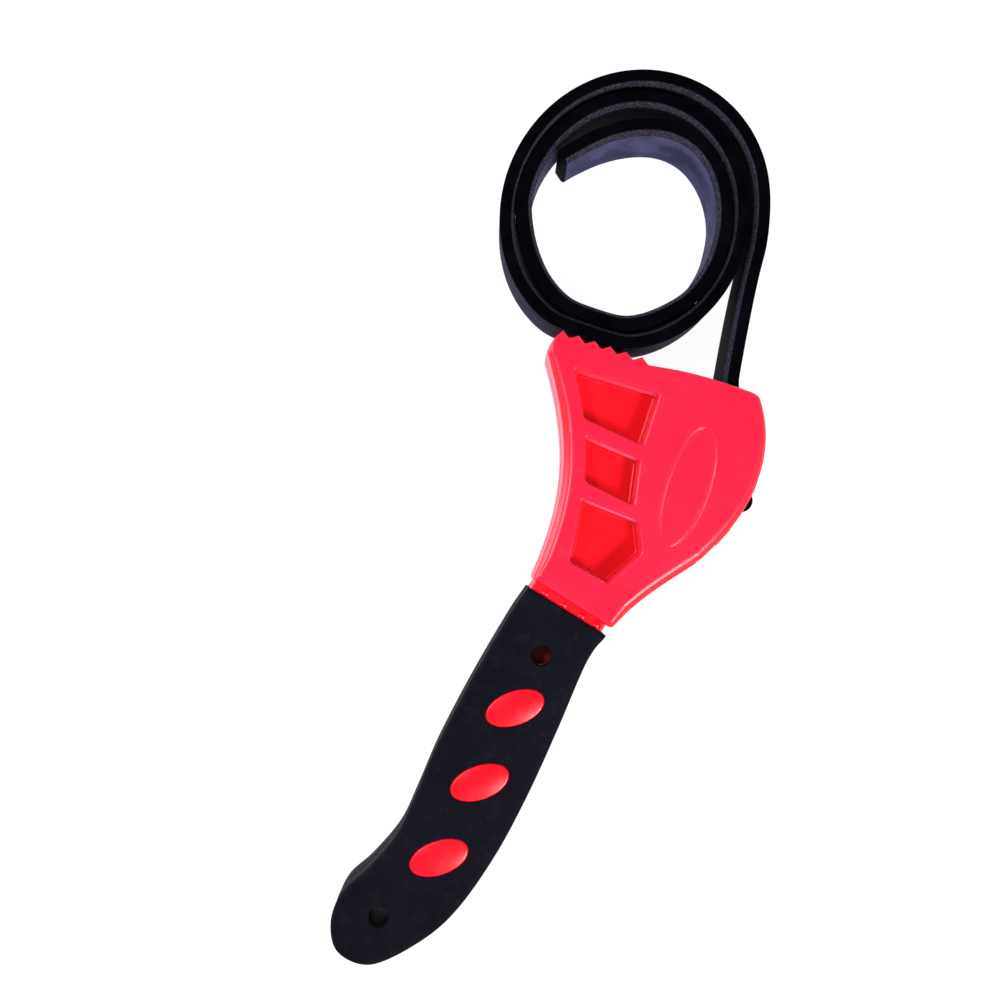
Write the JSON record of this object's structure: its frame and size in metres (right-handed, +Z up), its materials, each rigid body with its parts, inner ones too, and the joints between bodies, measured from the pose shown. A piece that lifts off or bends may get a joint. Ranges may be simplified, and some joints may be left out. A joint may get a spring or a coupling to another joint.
{
  "type": "strap wrench",
  "caption": "Strap wrench: a moulded toothed head and rubber-sleeved handle that holds a flat rubber strap, which lies wound in a coil beside the jaw.",
  "frame": {"origin": "centre of the hang hole through the end of the handle, on the mid-plane of the tool", "axes": "+Z is up out of the flat face; +X runs along the toothed jaw towards its outer corner; +Y is square to the jaw, the way the strap leaves it, and the handle leans 13.3 degrees from it"},
  "size_m": [0.112, 0.3125, 0.03],
  "materials": {
    "red_moulding": "glossy moulded plastic",
    "sleeve_rubber": "satin moulded rubber",
    "strap_rubber": "fine-grained extruded rubber"
  },
  "bodies": {
    "handle": {"body": "red_moulding", "grip_sleeve": "sleeve_rubber", "strap_anchor": "strap_rubber"},
    "run": {"strap_run": "strap_rubber"},
    "coil": {"strap_coil": "strap_rubber"}
  },
  "joints": [
    {"name": "strap_bend", "type": "hinge", "parent": "handle", "child": "run", "pos_m": [0.0536, 0.20433, 0], "axis": [0, 0, -1], "range_deg": [0, 60], "stiffness_Nm_per_rad": 0.06},
    {"name": "coil_swing", "type": "hinge", "parent": "run", "child": "coil", "pos_m": [0.04852, 0.24502, 0], "axis": [0, 0, -1], "range_deg": [0, 45], "stiffness_Nm_per_rad": 0.06}
  ]
}
